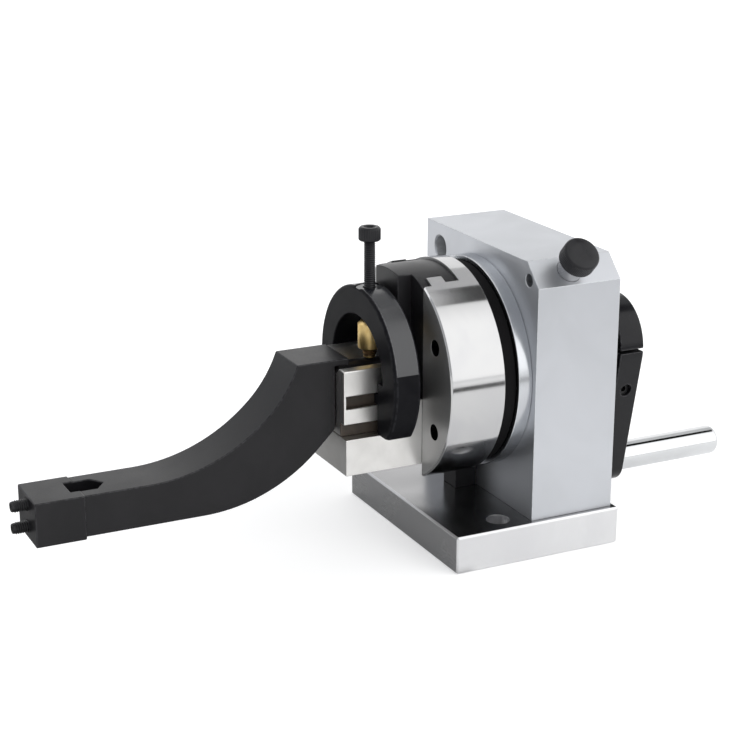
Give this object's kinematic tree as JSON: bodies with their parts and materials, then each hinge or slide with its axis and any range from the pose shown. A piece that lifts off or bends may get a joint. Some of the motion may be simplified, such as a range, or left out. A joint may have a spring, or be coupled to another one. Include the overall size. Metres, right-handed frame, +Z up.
{
  "type": "punch former",
  "caption": "Hand-cranked punch former: ground base and housing block, indexed spindle head with T-slide, V-block, horseshoe clamp and a curved black dresser arm.",
  "frame": {"origin": "centre of the base plate's underside", "axes": "+Z up, spindle axis along Y with the arm towards -Y and the crank towards +Y, +X towards the index knob"},
  "size_m": [0.0857, 0.2645, 0.1091],
  "materials": {
    "ground_steel": "ground",
    "light_steel": "fine ground",
    "satin_steel": "satin ground",
    "flange_steel": "turned",
    "black_gloss": "gloss black",
    "black_oxide": "black oxide",
    "black_knurled": "black oxide, knurled",
    "screw_black": "black oxide",
    "turned_steel": "turned and ground",
    "chrome": "polished",
    "bronze": "turned",
    "brass": "turned",
    "spring_steel": "drawn"
  },
  "bodies": {
    "frame": {"base_plate": "ground_steel", "housing_screws": "screw_black", "housing_block": "satin_steel", "front_flange": "flange_steel", "flange_screws": "screw_black", "front_bush": "bronze", "rear_cap": "turned_steel", "rear_cap_screws": "screw_black", "rear_bush": "bronze", "stop_block": "black_gloss", "stop_block_screw": "screw_black", "index_sleeve": "chrome", "index_spring": "spring_steel", "sleeve_lock_screw": "screw_black"},
    "head": {"spindle": "turned_steel", "spindle_ring": "black_oxide", "head_disc": "ground_steel", "head_screws": "screw_black", "index_plate": "turned_steel", "thrust_washer": "turned_steel", "crank": "black_oxide", "crank_side_screw": "screw_black", "crank_end_washer": "turned_steel", "crank_end_screw": "screw_black", "handle_bar": "chrome"},
    "slide": {"tee_slide": "black_oxide", "v_holder": "light_steel", "v_holder_screws": "screw_black", "v_block": "light_steel", "v_block_screws": "screw_black"},
    "slide_lock": {"slide_lock_screw": "screw_black"},
    "yoke": {"clamp_yoke": "black_gloss"},
    "pad": {"clamp_pad": "brass"},
    "clamp_screw_body": {"clamp_screw": "black_knurled"},
    "arm": {"dresser_arm": "black_oxide", "arm_shank": "turned_steel"},
    "upper_set": {"upper_set_screw": "screw_black"},
    "lower_set": {"lower_set_screw": "screw_black"},
    "index": {"index_pin": "turned_steel", "index_knob": "black_knurled"}
  },
  "joints": [
    {"name": "head_turn", "type": "hinge", "parent": "frame", "child": "head", "pos_m": [0, 0, 0.059], "axis": [0, 1, 0], "continuous": true},
    {"name": "slide_shift", "type": "slide", "parent": "head", "child": "slide", "axis": [0, 0, 1], "range_m": [-0.005, 0.005]},
    {"name": "slide_lock_move", "type": "slide", "parent": "head", "child": "slide_lock", "axis": [1, 0, 0], "range_m": [-0.002, 0]},
    {"name": "yoke_slide", "type": "slide", "parent": "slide", "child": "yoke", "axis": [0, 1, 0], "range_m": [-0.006, 0.001]},
    {"name": "pad_lift", "type": "slide", "parent": "yoke", "child": "pad", "axis": [0, 0, 1], "range_m": [0, 0.0019]},
    {"name": "clamp_screw_turn", "type": "hinge", "parent": "pad", "child": "clamp_screw_body", "pos_m": [0, -0.04325, 0.09], "axis": [0, 0, 1], "range_deg": [0, 980]},
    {"name": "arm_draw", "type": "slide", "parent": "slide", "child": "arm", "axis": [0, -1, 0], "range_m": [0, 0.03]},
    {"name": "upper_set_move", "type": "slide", "parent": "arm", "child": "upper_set", "axis": [0, 1, 0], "range_m": [-0.004, 0.002]},
    {"name": "lower_set_move", "type": "slide", "parent": "arm", "child": "lower_set", "axis": [0, 1, 0], "range_m": [-0.004, 0.002]},
    {"name": "index_pull", "type": "slide", "parent": "frame", "child": "index", "axis": [0.7071, 0, 0.7071], "range_m": [0, 0.004], "stiffness_N_per_m": 1000, "springref_m": -0.003}
  ],
  "couplings": [
    {"joint": "clamp_screw_turn", "follows": "pad_lift", "rad_per_m": 8976}
  ]
}
